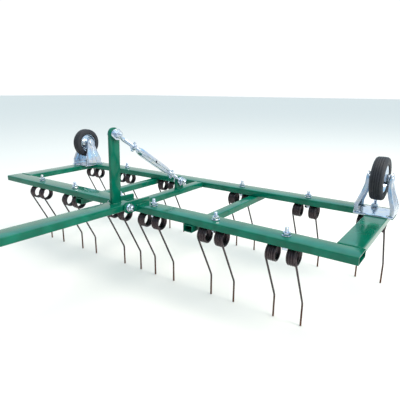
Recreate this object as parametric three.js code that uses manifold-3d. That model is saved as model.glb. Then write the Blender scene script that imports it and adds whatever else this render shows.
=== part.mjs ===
// Tow-behind spring-tine dethatcher for a garden tractor.
//
// A rectangular frame of flat steel tube carries two rows of double-coil spring tines. A drawbar is
// hinged between two ears on the front rail, and a turnbuckle from the mast on the drawbar's rear end
// to a lug on the centre rail sets the rake angle. Two fixed castors stand wheel-up on the rear
// corners for transport.
//
// Millimetres. +X along the rails, -Y towards the hitch, +Z up. The origin is on the ground, under the
// middle of the whole machine's box. The frame itself is drawn about its own middle, with z = 0 on top
// of the rails, inside one group that lifts it onto its tines.

import * as THREE from 'three';
import { mergeVertices } from 'three/addons/utils/BufferGeometryUtils.js';
import Module from 'manifold-3d';

const wasm = await Module();
wasm.setup();

// ---------------------------------------------------------------- driving dimensions

const GAP = 0.3;                  // between pieces that touch

const FRAME_LENGTH = 1350;        // along X
const FRAME_DEPTH = 438;          // along Y
const FLAT_TUBE = { width: 60, height: 20, wall: 2, corner: 3 };
const SLIM_TUBE = { width: 30, height: 20, wall: 2, corner: 2.5 };
const SIDE_INSET = 5;             // side rails stand this far in from the long rails' ends
const CROSS_X = 231;              // cross-members, either side of the middle
const CROSS_STUB = 3;             // their reach ahead of the front rail
const RAIL_Y = (FRAME_DEPTH - FLAT_TUBE.width) / 2;
const INNER_DEPTH = FRAME_DEPTH - 2 * FLAT_TUBE.width;

const FRONT_ROW_SHIFT = 9;        // the front row stands a little to +X, so that it combs other lines
const FRONT_TINES_X = [-492, -298, -71, 71, 291, 492].map((x) => x + FRONT_ROW_SHIFT);
const REAR_TINES_X = [-618, -415, -169, 169, 415, 618];
const WIRE_R = 2.75;
const COIL = { meanR: 21, length: 28.5, inner: 12.7, y: -7.6 };
const COIL_OUTER_R = COIL.meanR + WIRE_R;
const COIL_Z = -FLAT_TUBE.height - GAP - COIL_OUTER_R;
const LEG_X = COIL.inner + COIL.length - WIRE_R;
const LEG_BEND = { y: 43, z: -188 };
const TIP_Z = -252;

const M10 = { shank: 5, hexFlats: 17, nut: 8, head: 6.4, washerR: 11, washer: 2 };
const M12 = { shank: 6, hexFlats: 19, nut: 10, head: 7.5, washerR: 12, washer: 2.5 };
const HOLE_SLACK = 0.5;           // on a hole's radius

const HINGE = { y: -249, z: 1 };  // drawbar hinge, along X
const EAR = { thickness: 6, noseR: 18, rearY: -160, rearTop: 15 };
const PITCH = THREE.MathUtils.degToRad(1.46);   // the drawbar's rise towards the hitch

const DRAWBAR = { rear: 22, front: -651 };      // measured from the hinge
const MAST = { thickness: 10, depth: 35, y: -18.5, boltZ: 212, archZ: 213 };
const HITCH = { thickness: 5, frontBolt: -629, rearBolt: -519, pin: -709, front: -743, rear: -490 };
const PIN = { shank: 7, headR: 12, head: 10, reach: 72 };
const CLIP = { wireR: 2, reach: 40, bearing: THREE.MathUtils.degToRad(195) };

const LUG = { thickness: 10, y: 33, z: 26, halfWidth: 20, topR: 17 };
const TURNBUCKLE = { x: 10, rodR: 6, neckR: 4.4, neckEnd: 28, eyeR: 15, eyeThickness: 9, rodInside: 58 };
const SLEEVE = { start: 85, end: 249, taper: 14, outerR: 12, endR: 9, boreR: 6.6, crossHoleR: 4 };
const LOCK_NUTS = { lower: 62, upper: 270, length: 10, bodyR: 10, wing: 15, wingWidth: 6 };

const CASTOR = { x: 630, y: 146, axleZ: 99 };
const PLATE = { length: 105, depth: 100, thickness: 3, slotX: 40, slotY: 34, slotR: 4.5, slot: 12 };
// A leg's outer face, from the plate up: it stands straight, leans in and is upright again at the axle.
const LEG = { thickness: 3, face: [[52.2, 0], [52.2, 24], [40, 58], [33, 86], [33, 125]], topX: 33 };
const TYRE = { outerR: 61.5, seatR: 40, halfWidth: 18 };
const HUB = { r: 15, halfLength: 26.5 };
const AXLE = { r: 6, headR: 11, head: 4 };

const GROUND = -TIP_Z;            // height of the rails' top over the tine tips
const SHIFT_Y = 378.767;          // from the frame's middle to the middle of the whole machine

// ---------------------------------------------------------------- finishes

const finish = (color, roughness, metalness) => new THREE.MeshStandardMaterial({ color, roughness, metalness });
const greenPaint = finish(0x007a5a, 0.38, 0.0);
const springSteel = finish(0x332c30, 0.5, 0.6);
const zinc = finish(0xc9d2dc, 0.32, 0.9);
const blackRubber = finish(0x2b2c31, 0.75, 0.0);

// ---------------------------------------------------------------- geometry helpers

/** A closed geometry as a manifold solid. */
function solid(geometry) {
  const bare = geometry.clone();
  bare.deleteAttribute('normal');
  bare.deleteAttribute('uv');
  const merged = mergeVertices(bare, 1e-4);
  return new wasm.Manifold(new wasm.Mesh({
    numProp: 3,
    vertProperties: new Float32Array(merged.attributes.position.array),
    triVerts: new Uint32Array(merged.index.array),
  }));
}

/** A manifold solid as a geometry. */
function geometryOf(body) {
  const mesh = body.getMesh();
  const geometry = new THREE.BufferGeometry();
  geometry.setAttribute('position', new THREE.BufferAttribute(new Float32Array(mesh.vertProperties), 3));
  geometry.setIndex(new THREE.BufferAttribute(new Uint32Array(mesh.triVerts), 1));
  geometry.computeVertexNormals();
  return geometry;
}

/** Every geometry joined into one. */
const join = (...pieces) => geometryOf(pieces.map(solid).reduce((sum, piece) => sum.add(piece)));

/** The first geometry less all the others. */
const cut = (base, ...tools) => geometryOf(tools.map(solid).reduce((rest, tool) => rest.subtract(tool), solid(base)));

/** What two geometries have in common. */
const shared = (a, b) => geometryOf(solid(a).intersect(solid(b)));

/** A cylinder or, with 6 sides, a hexagon prism along an axis, from one place to another on it. */
function rod(axis, radius, from, to, sides = 12) {
  const geometry = new THREE.CylinderGeometry(radius, radius, to - from, sides);
  geometry.translate(0, (from + to) / 2, 0);
  if (axis === 'x') geometry.rotateZ(-Math.PI / 2);
  if (axis === 'z') geometry.rotateX(Math.PI / 2);
  return geometry;
}

/** A closed profile of [radius, place] pairs turned about an axis. */
function turned(axis, profile, segments = 20) {
  const points = [...profile, profile[0]].map(([r, place]) => new THREE.Vector2(r, place));
  const geometry = new THREE.LatheGeometry(points, segments);
  if (axis === 'x') geometry.rotateZ(-Math.PI / 2);
  if (axis === 'z') geometry.rotateX(Math.PI / 2);
  return geometry;
}

/** An outline drawn in Y and Z and given a thickness along X, about x = 0. */
function plateAcrossX(shape, thickness, curveSegments = 8) {
  const geometry = new THREE.ExtrudeGeometry(shape, { depth: thickness, bevelEnabled: false, curveSegments });
  geometry.translate(0, 0, -thickness / 2);
  const toYZ = new THREE.Matrix4().makeBasis(
    new THREE.Vector3(0, 1, 0), new THREE.Vector3(0, 0, 1), new THREE.Vector3(1, 0, 0));
  return geometry.applyMatrix4(toYZ);
}

/** A rectangle with round corners as a shape, about its middle. */
function roundedRectangle(width, height, corner, Type = THREE.Shape) {
  const [w, h] = [width / 2 - corner, height / 2 - corner];
  const shape = new Type();
  shape.absarc(w, h, corner, 0, Math.PI / 2);
  shape.absarc(-w, h, corner, Math.PI / 2, Math.PI);
  shape.absarc(-w, -h, corner, Math.PI, Math.PI * 1.5);
  shape.absarc(w, -h, corner, Math.PI * 1.5, Math.PI * 2);
  return shape;
}

/** A length of rectangular tube along X or Y, about its own middle, with open ends. */
function boxTube(axis, length, tube) {
  const shape = roundedRectangle(tube.width, tube.height, tube.corner);
  const inner = tube.corner - tube.wall + 0.5;
  shape.holes.push(roundedRectangle(tube.width - 2 * tube.wall, tube.height - 2 * tube.wall, inner, THREE.Path));
  const geometry = new THREE.ExtrudeGeometry(shape, { depth: length, bevelEnabled: false, curveSegments: 1 });
  geometry.translate(0, 0, -length / 2);
  const [x, y, z] = [new THREE.Vector3(1, 0, 0), new THREE.Vector3(0, 1, 0), new THREE.Vector3(0, 0, 1)];
  const basis = new THREE.Matrix4();
  if (axis === 'x') basis.makeBasis(y, z, x);
  else basis.makeBasis(x, z, y.negate());
  return geometry.applyMatrix4(basis);
}

/** Round wire along a path of straight and curved stretches. */
function wire(path, radius, steps, sides = 5) {
  const ring = Array.from({ length: sides }, (_, i) => {
    const angle = (i / sides) * Math.PI * 2;
    return new THREE.Vector2(Math.cos(angle) * radius, Math.sin(angle) * radius);
  });
  return new THREE.ExtrudeGeometry(new THREE.Shape(ring), { steps, bevelEnabled: false, extrudePath: path });
}

const hexR = (flats) => flats / Math.sqrt(3);

/** A screw with its washers and nut along an axis, clamping whatever lies between two faces on it. */
function screwStack(axis, size, { low, high, headWasher = size.washerR, nutWasher = size.washerR, tail = 5 }) {
  const head = low - GAP - size.washer;
  const nut = high + GAP + size.washer;
  return join(
    rod(axis, size.shank, head - 1, nut + size.nut + tail, 8),
    rod(axis, hexR(size.hexFlats), head - size.head, head, 6),
    rod(axis, headWasher, head, low - GAP, 12),
    rod(axis, nutWasher, high + GAP, nut, 12),
    rod(axis, hexR(size.hexFlats), nut, nut + size.nut, 6),
  );
}

const machine = new THREE.Group();
machine.position.set(0, SHIFT_Y, GROUND);

/** Adds a named piece to a group. */
function add(group, name, geometry, material, position = [0, 0, 0]) {
  const mesh = new THREE.Mesh(geometry, material);
  mesh.name = name;
  mesh.position.set(...position);
  group.add(mesh);
}

// ---------------------------------------------------------------- frame

/** A long rail with a vertical bolt hole at each of the given places. */
function longRail(boltsX) {
  const holeR = M10.shank + HOLE_SLACK;
  const holes = boltsX.map((x) => rod('z', holeR, -FLAT_TUBE.height, FLAT_TUBE.height, 8).translate(x, 0, 0));
  return cut(boxTube('x', FRAME_LENGTH, FLAT_TUBE), ...holes);
}

function buildFrame() {
  const railZ = -FLAT_TUBE.height / 2;
  add(machine, 'front_rail', longRail(FRONT_TINES_X), greenPaint, [0, -RAIL_Y, railZ]);
  add(machine, 'rear_rail', longRail(REAR_TINES_X), greenPaint, [0, RAIL_Y, railZ]);

  const sideX = (FRAME_LENGTH - FLAT_TUBE.width) / 2 - SIDE_INSET;
  const sideRail = boxTube('y', INNER_DEPTH - 2 * GAP, FLAT_TUBE);
  add(machine, 'left_side_rail', sideRail, greenPaint, [-sideX, 0, railZ]);
  add(machine, 'right_side_rail', sideRail, greenPaint, [sideX, 0, railZ]);
  add(machine, 'centre_rail', boxTube('y', INNER_DEPTH - 2 * GAP, SLIM_TUBE), greenPaint, [0, 0, railZ]);

  const crossMember = boxTube('y', FRAME_DEPTH + CROSS_STUB, SLIM_TUBE);
  const crossZ = -FLAT_TUBE.height - GAP - SLIM_TUBE.height / 2;
  add(machine, 'left_cross_member', crossMember, greenPaint, [-CROSS_X, -CROSS_STUB / 2, crossZ]);
  add(machine, 'right_cross_member', crossMember, greenPaint, [CROSS_X, -CROSS_STUB / 2, crossZ]);
}

// ---------------------------------------------------------------- spring tines

/** One double-coil tine about its bolt, with y = 0 on the bolt and z = 0 on top of the rail. */
function tine() {
  const coil = turned('x', [
    [COIL.meanR - WIRE_R, 0], [COIL_OUTER_R, 0], [COIL_OUTER_R, COIL.length], [COIL.meanR - WIRE_R, COIL.length],
  ], 12);
  const rightCoil = coil.clone().translate(COIL.inner, COIL.y, COIL_Z);
  const leftCoil = coil.clone().translate(-COIL.inner - COIL.length, COIL.y, COIL_Z);

  // Each leg leaves the front of its coil on a tangent, slopes back to the bend and then drops.
  const slope = Math.atan2(LEG_BEND.y - COIL.y + COIL.meanR * 0.9, COIL_Z - LEG_BEND.z - COIL.meanR * 0.45);
  const start = [COIL.y - COIL.meanR * Math.cos(slope), COIL_Z - COIL.meanR * Math.sin(slope)];
  const bendStart = 20;
  const leg = (x) => {
    const at = (y, z) => new THREE.Vector3(x, y, z);
    const corner = at(LEG_BEND.y, LEG_BEND.z);
    const before = at(LEG_BEND.y - bendStart * Math.sin(slope), LEG_BEND.z + bendStart * Math.cos(slope));
    const after = at(LEG_BEND.y, LEG_BEND.z - bendStart);
    const path = new THREE.CurvePath();
    path.add(new THREE.LineCurve3(at(...start), before));
    path.add(new THREE.QuadraticBezierCurve3(before, corner, after));
    path.add(new THREE.LineCurve3(after, at(LEG_BEND.y, TIP_Z)));
    return wire(path, WIRE_R, 7);
  };

  // The wire between the coils loops round the bolt, flat under the rail.
  const loopZ = -FLAT_TUBE.height - GAP - WIRE_R;
  const loopR = M10.shank + WIRE_R + 0.6;
  const loop = new THREE.CatmullRomCurve3([
    [COIL.inner + 4, COIL.y], [COIL.inner - 1, COIL.y + 2], [loopR, 0], [loopR * 0.7, loopR * 0.7], [0, loopR],
    [-loopR * 0.7, loopR * 0.7], [-loopR, 0], [1 - COIL.inner, COIL.y + 2], [-COIL.inner - 4, COIL.y],
  ].map(([x, y]) => new THREE.Vector3(x, y, loopZ)));
  return join(rightCoil, leftCoil, leg(LEG_X), leg(-LEG_X), wire(loop, WIRE_R, 10));
}

/** The screw that clamps a tine's loop under a rail, its nut above whatever lies on the rail. */
function tineBolt(onTop = 0) {
  const underLoop = -FLAT_TUBE.height - GAP - 2 * WIRE_R;
  return screwStack('z', M10, { low: underLoop, high: onTop, headWasher: 10, tail: 12 });
}

function buildTines() {
  const oneTine = tine();
  const plainBolt = tineBolt();
  const cornerBolt = tineBolt(GAP + PLATE.thickness);
  FRONT_TINES_X.forEach((x, i) => {
    add(machine, `tine_front_${i + 1}`, oneTine, springSteel, [x, -RAIL_Y, 0]);
    add(machine, `tine_bolt_front_${i + 1}`, plainBolt, zinc, [x, -RAIL_Y, 0]);
  });
  REAR_TINES_X.forEach((x, i) => {
    const underCastor = i === 0 || i === REAR_TINES_X.length - 1;
    add(machine, `tine_rear_${i + 1}`, oneTine, springSteel, [x, RAIL_Y, 0]);
    add(machine, `tine_bolt_rear_${i + 1}`, underCastor ? cornerBolt : plainBolt, zinc, [x, RAIL_Y, 0]);
  });
}

// ---------------------------------------------------------------- castors

/** The pressed bracket: a slotted plate with two A-shaped legs bent up from its ends and in to the axle. */
function castorBracket(side) {
  const slot = (x, y) => {
    const shape = roundedRectangle(PLATE.slot, 2 * PLATE.slotR, PLATE.slotR - 0.1);
    return new THREE.ExtrudeGeometry(shape, { depth: 20, bevelEnabled: false, curveSegments: 1 })
      .rotateZ(Math.atan2(y, x)).translate(x, y, -5);
  };
  const plate = new THREE.ExtrudeGeometry(roundedRectangle(PLATE.length, PLATE.depth, 9),
    { depth: PLATE.thickness, bevelEnabled: false, curveSegments: 1 }).translate(0, 0, GAP);

  const height = CASTOR.axleZ - GAP;
  const outline = new THREE.Shape();
  outline.moveTo(-38, 0).lineTo(38, 0).lineTo(36, 20).lineTo(27, 66);
  outline.absarc(0, height, 19, -0.25, Math.PI + 0.25);
  outline.lineTo(-27, 66).lineTo(-36, 20).closePath();
  const leg = (sign) => {
    const inner = LEG.face.map(([x, z]) => [x - LEG.thickness, z]).reverse();
    const section = [...LEG.face, ...inner].map(([x, z]) => new THREE.Vector2(sign * x, z));
    const bent = new THREE.ExtrudeGeometry(new THREE.Shape(section), { depth: PLATE.depth, bevelEnabled: false })
      .rotateX(Math.PI / 2).translate(0, PLATE.depth / 2, GAP);
    return shared(bent, plateAcrossX(outline, 2 * PLATE.length, 4).translate(0, 0, GAP));
  };

  const tineBoltX = side * (REAR_TINES_X.at(-1) - CASTOR.x);
  const holes = [
    ...[-1, 1].flatMap((sx) => [-1, 1].map((sy) => slot(sx * PLATE.slotX, sy * PLATE.slotY))),
    rod('z', M10.shank + HOLE_SLACK, -10, 10).translate(tineBoltX, RAIL_Y - CASTOR.y, 0),
    rod('x', AXLE.r + HOLE_SLACK, -60, 60).translate(0, 0, CASTOR.axleZ),
  ];
  return cut(join(plate, leg(-1), leg(1)), ...holes);
}

const castorTyre = () => turned('x', [
  [TYRE.seatR, -13], [46, -TYRE.halfWidth], [56, -TYRE.halfWidth], [60, -14], [TYRE.outerR, -7],
  [TYRE.outerR, 7], [60, 14], [56, TYRE.halfWidth], [46, TYRE.halfWidth], [TYRE.seatR, 13],
], 22);

const castorRim = () => turned('x', [
  [AXLE.r + HOLE_SLACK, -HUB.halfLength], [HUB.r, -HUB.halfLength], [HUB.r, -8], [28, -3], [34, -9],
  [TYRE.seatR - 2 * GAP, -12], [TYRE.seatR - 2 * GAP, 12], [34, 9], [28, 3], [HUB.r, 8], [HUB.r, HUB.halfLength],
  [AXLE.r + HOLE_SLACK, HUB.halfLength],
], 20);

/** The riveted axle, with a low domed head outside each leg. */
function castorAxle() {
  const [inner, outer] = [LEG.topX + GAP, LEG.topX + GAP + AXLE.head];
  return turned('x', [
    [0, -outer], [AXLE.headR - 2.5, -outer], [AXLE.headR, 1.5 - outer], [AXLE.headR, -inner], [AXLE.r, -inner],
    [AXLE.r, inner], [AXLE.headR, inner], [AXLE.headR, outer - 1.5], [AXLE.headR - 2.5, outer], [0, outer],
  ], 14);
}

function buildCastors() {
  const axle = castorAxle();
  const [tyre, rim] = [castorTyre(), castorRim()];
  [['left', -1], ['right', 1]].forEach(([word, side]) => {
    const axleAt = [side * CASTOR.x, CASTOR.y, CASTOR.axleZ];
    add(machine, `castor_bracket_${word}`, castorBracket(side), zinc, [side * CASTOR.x, CASTOR.y, 0]);
    add(machine, `castor_axle_${word}`, axle, zinc, axleAt);
    add(machine, `castor_rim_${word}`, rim, zinc, axleAt);
    add(machine, `castor_tyre_${word}`, tyre, blackRubber, axleAt);
  });
}

// ---------------------------------------------------------------- hinge and lug

const earInnerX = FLAT_TUBE.width / 2 + GAP;

/** An ear: it lies along the front rail's top and reaches ahead of it to a round nose at the hinge. */
function hingeEar() {
  const frontFace = -FRAME_DEPTH / 2 - GAP;
  const shape = new THREE.Shape();
  shape.moveTo(EAR.rearY, GAP).lineTo(EAR.rearY, EAR.rearTop);
  shape.absarc(HINGE.y, HINGE.z, EAR.noseR, Math.PI / 2, Math.PI * 1.5);
  shape.lineTo(frontFace, HINGE.z - EAR.noseR).lineTo(frontFace, GAP).closePath();
  const hole = rod('x', M12.shank + HOLE_SLACK, -20, 20).translate(0, HINGE.y, HINGE.z);
  return cut(plateAcrossX(shape, EAR.thickness, 6), hole);
}

/** The upright lug on the centre rail that holds the turnbuckle's lower eye. */
function turnbuckleLug() {
  const shape = new THREE.Shape();
  shape.moveTo(LUG.y - LUG.halfWidth, GAP).lineTo(LUG.y + LUG.halfWidth, GAP);
  shape.absarc(LUG.y, LUG.z, LUG.topR, 0, Math.PI);
  shape.closePath();
  const hole = rod('x', M12.shank + HOLE_SLACK, -20, 20).translate(0, LUG.y, LUG.z);
  return cut(plateAcrossX(shape, LUG.thickness, 8), hole);
}

function buildHinge() {
  const earX = earInnerX + EAR.thickness / 2;
  const outer = earInnerX + EAR.thickness;
  const ear = hingeEar();
  add(machine, 'hinge_ear_left', ear, greenPaint, [-earX, 0, 0]);
  add(machine, 'hinge_ear_right', ear, greenPaint, [earX, 0, 0]);
  add(machine, 'hinge_bolt', screwStack('x', M12, { low: -outer, high: outer }), zinc, [0, HINGE.y, HINGE.z]);
  add(machine, 'turnbuckle_lug', turnbuckleLug(), greenPaint);
}

// ---------------------------------------------------------------- drawbar, mast and hitch

/** A group at the hinge, turned up by the drawbar's pitch. Its y = 0, z = 0 is the hinge. */
const drawbar = new THREE.Group();
drawbar.position.set(0, HINGE.y, HINGE.z);
drawbar.rotation.x = -PITCH;
machine.add(drawbar);

const tubeTop = FLAT_TUBE.height / 2;
const plateOuter = tubeTop + GAP + HITCH.thickness;

function drawbarTube() {
  const length = DRAWBAR.rear - DRAWBAR.front;
  const tube = boxTube('y', length, FLAT_TUBE).translate(0, (DRAWBAR.rear + DRAWBAR.front) / 2, 0);
  const holeR = M12.shank + HOLE_SLACK;
  const bolts = [HITCH.frontBolt, HITCH.rearBolt].map((y) => rod('z', holeR, -20, 20).translate(0, y, 0));
  return cut(tube, rod('x', holeR, -50, 50), ...bolts);
}

/** The upright flat bar, round at the top, with the turnbuckle's bolt hole. */
function mast() {
  const shape = new THREE.Shape();
  shape.moveTo(MAST.y - MAST.depth / 2, tubeTop + GAP).lineTo(MAST.y + MAST.depth / 2, tubeTop + GAP);
  shape.absarc(MAST.y, MAST.archZ, MAST.depth / 2, 0, Math.PI);
  shape.closePath();
  const hole = rod('x', M12.shank + HOLE_SLACK, -20, 20).translate(0, MAST.y, MAST.boltZ);
  return cut(plateAcrossX(shape, MAST.thickness, 8), hole);
}

function hitchPlate() {
  const length = HITCH.rear - HITCH.front;
  const middle = (HITCH.rear + HITCH.front) / 2;
  const plate = new THREE.ExtrudeGeometry(roundedRectangle(FLAT_TUBE.width, length, 6),
    { depth: HITCH.thickness, bevelEnabled: false, curveSegments: 2 }).translate(0, middle, -HITCH.thickness / 2);
  const holes = [HITCH.frontBolt, HITCH.rearBolt].map((y) => rod('z', M12.shank + HOLE_SLACK, -9, 9).translate(0, y, 0));
  return cut(plate, rod('z', PIN.shank + HOLE_SLACK, -9, 9, 16).translate(0, HITCH.pin, 0), ...holes);
}

/** The drop pin, with its head's underside just over z = 0 and a cross hole for the clip's wire. */
function hitchPin() {
  const headTop = GAP + PIN.head;
  const pin = join(
    turned('z', [[0, -PIN.reach], [PIN.shank - 2, -PIN.reach], [PIN.shank, 3 - PIN.reach], [PIN.shank, 1],
      [0, 1]], 14),
    turned('z', [[0, GAP], [PIN.headR, GAP], [PIN.headR, headTop - 2], [PIN.headR - 2, headTop],
      [0, headTop]], 18),
  );
  const crossHole = rod('x', CLIP.wireR + 0.6, -20, 20, 10).translate(0, 0, GAP + PIN.head / 2);
  return cut(pin, crossHole);
}

/** The wire clip: through the pin's head, out over the plates' edge, down, and back to fork the pin's foot. */
function hitchClip() {
  const pivotZ = GAP + PIN.head / 2;
  const arm = 2.7;                           // half the pitch of the two wires where they run together
  const fork = PIN.shank + CLIP.wireR + 0.7;  // half the fork's pitch
  const footZ = 6 - PIN.reach;
  const half = [
    [fork, -8, footZ], [fork, 4, footZ], [arm + 3, 13, footZ + 2], [arm, 20, footZ + 8], [arm, 31, footZ + 24],
    [arm, CLIP.reach, -28], [arm, CLIP.reach, -4], [arm, CLIP.reach - 6, pivotZ + 2], [arm + 1, 24, pivotZ + 3],
    [PIN.headR + 3, 13, pivotZ + 1], [PIN.headR + 5, 4, pivotZ], [PIN.headR + 3.5, 0.4, pivotZ],
    [PIN.headR - 1, 0, pivotZ], [PIN.headR - 5, 0, pivotZ],
  ];
  const otherHalf = half.map(([x, out, z]) => [-x, out, z]).reverse();
  const points = [...half, ...otherHalf].map(([x, out, z]) => new THREE.Vector3(x, out, z));
  return wire(new THREE.CatmullRomCurve3(points, false, 'centripetal'), CLIP.wireR, 46, 6);
}

function buildDrawbar() {
  add(drawbar, 'drawbar_tube', drawbarTube(), greenPaint);
  add(drawbar, 'mast', mast(), greenPaint);
  const mastBolt = screwStack('x', M12, {
    low: -MAST.thickness / 2, high: TURNBUCKLE.x + TURNBUCKLE.eyeThickness / 2, nutWasher: 16,
  });
  add(drawbar, 'mast_bolt', mastBolt, zinc, [0, MAST.y, MAST.boltZ]);

  const plate = hitchPlate();
  const plateZ = tubeTop + GAP + HITCH.thickness / 2;
  add(drawbar, 'hitch_top_plate', plate, greenPaint, [0, 0, plateZ]);
  add(drawbar, 'hitch_bottom_plate', plate, greenPaint, [0, 0, -plateZ]);
  const bolt = screwStack('z', M12, { low: -plateOuter, high: plateOuter }).rotateX(Math.PI);
  add(drawbar, 'hitch_bolt_front', bolt, zinc, [0, HITCH.frontBolt, 0]);
  add(drawbar, 'hitch_bolt_rear', bolt, zinc, [0, HITCH.rearBolt, 0]);

  const pinGroup = new THREE.Group();
  pinGroup.position.set(0, HITCH.pin, plateOuter);
  pinGroup.rotation.z = CLIP.bearing - Math.PI / 2;
  drawbar.add(pinGroup);
  add(pinGroup, 'hitch_pin', hitchPin(), zinc);
  add(pinGroup, 'hitch_clip', hitchClip(), zinc);
}

// ---------------------------------------------------------------- turnbuckle

/** A rod with a flat eye at y = 0, pointing along +Y. Its neck is slim so that it clears the mast and the lug. */
function eyeRod(holeR, end) {
  const half = TURNBUCKLE.eyeThickness / 2;
  const { rodR, neckR, neckEnd, eyeR } = TURNBUCKLE;
  const shaft = join(rod('y', neckR, eyeR - 5, neckEnd + 1), rod('y', rodR, neckEnd, end));
  const body = join(rod('x', eyeR, -half, half, 20), shaft);
  return cut(body, rod('x', holeR, -20, 20, 16));
}

/** The threaded sleeve: tapered ends, a bore right through and a cross hole for a tommy bar. */
function sleeve() {
  const { start, end, taper, outerR, endR, boreR, crossHoleR } = SLEEVE;
  const body = turned('y', [
    [boreR, start], [endR, start], [outerR, start + taper], [outerR, end - taper], [endR, end], [boreR, end],
  ], 14);
  const crossHole = rod('x', crossHoleR, -20, 20, 10).translate(0, (start + end) / 2, 0);
  return cut(body, crossHole);
}

/** A round lock nut with two wings. */
function lockNut(y) {
  const { length, bodyR, wing, wingWidth } = LOCK_NUTS;
  const wings = new THREE.BoxGeometry(wingWidth, length - 2, 2 * wing).translate(0, y, 0);
  const body = join(rod('y', bodyR, y - length / 2, y + length / 2, 12), wings);
  return cut(body, rod('y', TURNBUCKLE.rodR + 0.4, y - length, y + length));
}

function buildTurnbuckle() {
  const upper = new THREE.Vector2(MAST.y, MAST.boltZ).rotateAround(new THREE.Vector2(), -PITCH);
  const rise = new THREE.Vector2(upper.x + HINGE.y - LUG.y, upper.y + HINGE.z - LUG.z);
  const length = rise.length();
  const line = new THREE.Group();
  line.position.set(TURNBUCKLE.x, LUG.y, LUG.z);
  line.rotation.x = rise.angle();
  machine.add(line);

  const inside = TURNBUCKLE.rodInside;
  add(line, 'turnbuckle_lower_eye', eyeRod(M12.shank + HOLE_SLACK, SLEEVE.start + inside), zinc);
  add(line, 'turnbuckle_lower_lock_nut', lockNut(LOCK_NUTS.lower), zinc);
  add(line, 'turnbuckle_sleeve', sleeve(), zinc);
  add(line, 'turnbuckle_upper_lock_nut', lockNut(LOCK_NUTS.upper), zinc);
  const upperRod = eyeRod(M12.shank + 1.7, length - SLEEVE.end + inside).rotateX(Math.PI).translate(0, length, 0);
  add(line, 'turnbuckle_upper_eye', upperRod, zinc);

  const low = -LUG.thickness / 2;
  const high = TURNBUCKLE.x + TURNBUCKLE.eyeThickness / 2;
  add(machine, 'turnbuckle_lower_bolt', screwStack('x', M12, { low, high }), zinc, [0, LUG.y, LUG.z]);
}

buildFrame();
buildTines();
buildCastors();
buildHinge();
buildDrawbar();
buildTurnbuckle();

const group = new THREE.Group();
group.add(machine);
export default group;
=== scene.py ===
"""Looks for a tow-behind spring-tine dethatcher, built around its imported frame.

Every piece is modelled in millimetres in one of three local frames: the machine's own (x across,
y away from the hitch, z = 0 on top of the rails), the drawbar's (its hinge at the origin, pitched
up towards the hitch) and the turnbuckle's (its lower eye at the origin, +Y along the rods).
"""

from __future__ import annotations

import logging
import math
from dataclasses import dataclass
from enum import Enum
from typing import Any, Iterable, Sequence

import bmesh
import bpy
from mathutils import Matrix, Vector

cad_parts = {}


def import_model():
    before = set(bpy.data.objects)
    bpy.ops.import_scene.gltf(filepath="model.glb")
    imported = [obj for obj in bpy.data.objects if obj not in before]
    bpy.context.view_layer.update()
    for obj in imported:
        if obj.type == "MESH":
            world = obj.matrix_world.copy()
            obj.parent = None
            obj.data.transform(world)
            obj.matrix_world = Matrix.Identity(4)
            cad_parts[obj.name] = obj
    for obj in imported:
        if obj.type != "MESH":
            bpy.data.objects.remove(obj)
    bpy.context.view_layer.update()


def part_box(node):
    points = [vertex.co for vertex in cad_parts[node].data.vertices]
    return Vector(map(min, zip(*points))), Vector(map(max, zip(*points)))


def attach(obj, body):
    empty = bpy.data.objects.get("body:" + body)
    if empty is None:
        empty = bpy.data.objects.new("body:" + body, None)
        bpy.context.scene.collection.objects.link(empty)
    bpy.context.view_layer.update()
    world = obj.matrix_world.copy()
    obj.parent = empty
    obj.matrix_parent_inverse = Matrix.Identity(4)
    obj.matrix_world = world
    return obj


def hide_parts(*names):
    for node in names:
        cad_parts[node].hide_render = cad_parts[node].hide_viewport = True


log = logging.getLogger("dethatcher")

Point = tuple[float, float, float]
Flat = tuple[float, float]
Corner = tuple[float, float, float]  # x, y and radius

MM = 0.001
GAP = 0.3
SHARP_ANGLE = math.radians(34)


# ------------------------------------------------------------------ finishes


def linear(hex_colour: str) -> tuple[float, float, float, float]:
    """Turns an sRGB hex value to linear.

    Args:
        hex_colour: six hex digits with a leading #.

    Returns:
        Linear red, green and blue, and a full alpha.
    """
    parts = [int(hex_colour[i : i + 2], 16) / 255 for i in (1, 3, 5)]
    lin = [c / 12.92 if c <= 0.04045 else ((c + 0.055) / 1.055) ** 2.4 for c in parts]
    return (lin[0], lin[1], lin[2], 1.0)


def add_node(tree: bpy.types.NodeTree, kind: str, inputs: dict | None = None, **settings: Any) -> Any:
    """Adds a shader node with its settings and links.

    Args:
        tree: the material's node tree.
        kind: the node's type.
        inputs: socket name or number to a value, or to another node's output socket.
        settings: the node's own attributes.

    Returns:
        The node.
    """
    node = tree.nodes.new(kind)
    for key, value in settings.items():
        setattr(node, key, value)
    for key, value in (inputs or {}).items():
        if isinstance(value, bpy.types.NodeSocket):
            tree.links.new(value, node.inputs[key])
        else:
            node.inputs[key].default_value = value
    return node


class Slot(Enum):
    """The record's material slots."""

    GREEN = "green_paint"
    SPRING = "spring_steel"
    ZINC = "zinc_plate"
    RUBBER = "black_rubber"


@dataclass(frozen=True)
class Finish:
    """A surface finish that builds one node material.

    Attributes:
        label: the material's name.
        slot: the record's slot that it stands for.
        metallic: 1 for bare metal, 0 for paint and rubber.
    """

    label: str
    slot: Slot
    metallic: float = 0.0

    def shade(self, tree: bpy.types.NodeTree, where: Any, shader: Any) -> None:
        """Dresses the shader; each finish has its own."""
        raise NotImplementedError

    def material(self) -> bpy.types.Material:
        """Builds the material, once.

        Returns:
            The material with this finish's nodes.
        """
        found = bpy.data.materials.get(self.label)
        if found:
            return found
        made = bpy.data.materials.new(self.label)
        made.use_nodes = True
        tree = made.node_tree
        shader = tree.nodes["Principled BSDF"]
        shader.inputs["Metallic"].default_value = self.metallic
        where = add_node(tree, "ShaderNodeTexCoord").outputs["Object"]
        self.shade(tree, where, shader)
        return made


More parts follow.
